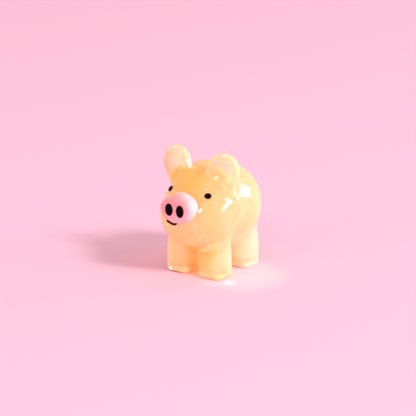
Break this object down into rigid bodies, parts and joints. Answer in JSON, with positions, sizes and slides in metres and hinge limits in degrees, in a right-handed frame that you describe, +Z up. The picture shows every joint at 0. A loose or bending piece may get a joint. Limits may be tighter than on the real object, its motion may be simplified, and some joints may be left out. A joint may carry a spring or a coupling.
{
  "type": "pig figurine",
  "caption": "Standing miniature pig of fused translucent honey-coloured glass with cupped ears, an oval pink snout, black dot eyes and nostrils, short column legs and a curled tail.",
  "frame": {"origin": "on the surface that the pig stands on, under the middle of its bounding box", "axes": "+Z up, -Y the way the pig faces, +X the pig's left side"},
  "size_m": [0.0174, 0.0255, 0.0245],
  "materials": {
    "honey_glass": "milky translucent, fire-polished",
    "clear_honey_glass": "nearly clear, fire-polished",
    "pink_glass": "opaque, glossy",
    "black_glass": "opaque, glossy",
    "dark_red_glass": "opaque, glossy"
  },
  "bodies": {
    "root": {"body": "honey_glass", "head": "honey_glass", "front_leg_left": "honey_glass", "front_leg_right": "honey_glass", "rear_leg_left": "honey_glass", "rear_leg_right": "honey_glass", "tail": "honey_glass", "ear_left": "clear_honey_glass", "ear_right": "clear_honey_glass", "snout": "pink_glass", "nostril_left": "black_glass", "nostril_right": "black_glass", "eye_left": "black_glass", "eye_right": "black_glass", "mouth": "dark_red_glass"}
  },
  "joints": []
}
